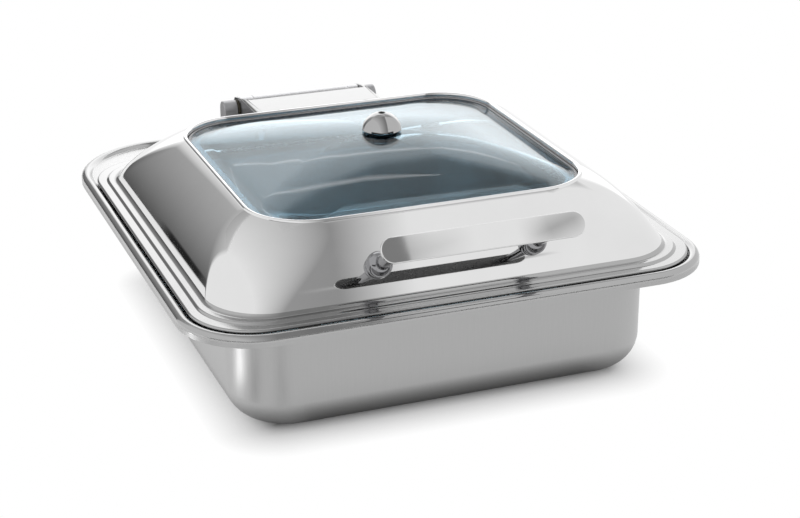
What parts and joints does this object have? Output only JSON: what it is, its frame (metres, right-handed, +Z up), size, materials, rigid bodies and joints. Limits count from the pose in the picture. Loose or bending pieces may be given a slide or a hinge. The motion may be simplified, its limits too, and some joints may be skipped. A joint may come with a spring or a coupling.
{
  "type": "induction chafing dish",
  "caption": "Square steel chafing dish for an induction hob: rimmed water pan with a food pan, and a rear-hinged polished lid with a domed glass window, steam vent and front handle.",
  "frame": {"origin": "centre of the induction base's underside, where the dish stands", "axes": "+X to the right seen from the handle, +Y to the rear hinge, +Z up"},
  "size_m": [0.4, 0.4473, 0.1795],
  "materials": {
    "satin_steel": "satin brushed stainless steel with a polished rim",
    "polished_steel": "mirror-polished stainless steel",
    "food_pan_steel": "satin drawn stainless steel",
    "leaf_steel": "fine brushed stainless steel",
    "bracket_steel": "satin stainless steel",
    "barrel_steel": "turned steel",
    "disc_steel": "ferritic stainless steel, turned",
    "fastener_steel": "bright stainless steel",
    "aluminium": "plain aluminium",
    "bronze": "sintered bronze",
    "tinted_glass": "blue-grey tempered glass",
    "black_rubber": "black silicone",
    "silicone": "dark grey silicone",
    "black_plastic": "moulded"
  },
  "bodies": {
    "dish": {"water_pan": "satin_steel", "heat_spreader": "aluminium", "induction_disc": "disc_steel", "food_pan": "food_pan_steel", "lid_buffers": "silicone", "hinge_base_plate": "bracket_steel", "hinge_post_left": "bracket_steel", "hinge_post_right": "bracket_steel", "hinge_post_screws": "fastener_steel", "hinge_screw_washers": "fastener_steel", "hinge_pin": "fastener_steel", "damper_rotor": "black_plastic"},
    "lid": {"lid_shell": "polished_steel", "lid_glass": "tinted_glass", "glass_gasket": "black_rubber", "glass_retaining_frame": "bracket_steel", "vent_cap": "polished_steel", "vent_stem": "fastener_steel", "vent_washer_upper": "black_rubber", "vent_washer_lower": "black_rubber", "vent_nut": "fastener_steel", "handle_plate": "polished_steel", "handle_post_left": "polished_steel", "handle_post_right": "polished_steel", "handle_screws": "fastener_steel", "handle_washers": "fastener_steel", "hinge_leaf": "leaf_steel", "hinge_leaf_rivets": "fastener_steel", "hinge_bushes": "bronze", "damper_barrel": "barrel_steel"}
  },
  "joints": [
    {"name": "lid_hinge", "type": "hinge", "parent": "dish", "child": "lid", "pos_m": [0, 0.196, 0.127], "axis": [-1, 0, 0], "range_deg": [0, 95]}
  ]
}
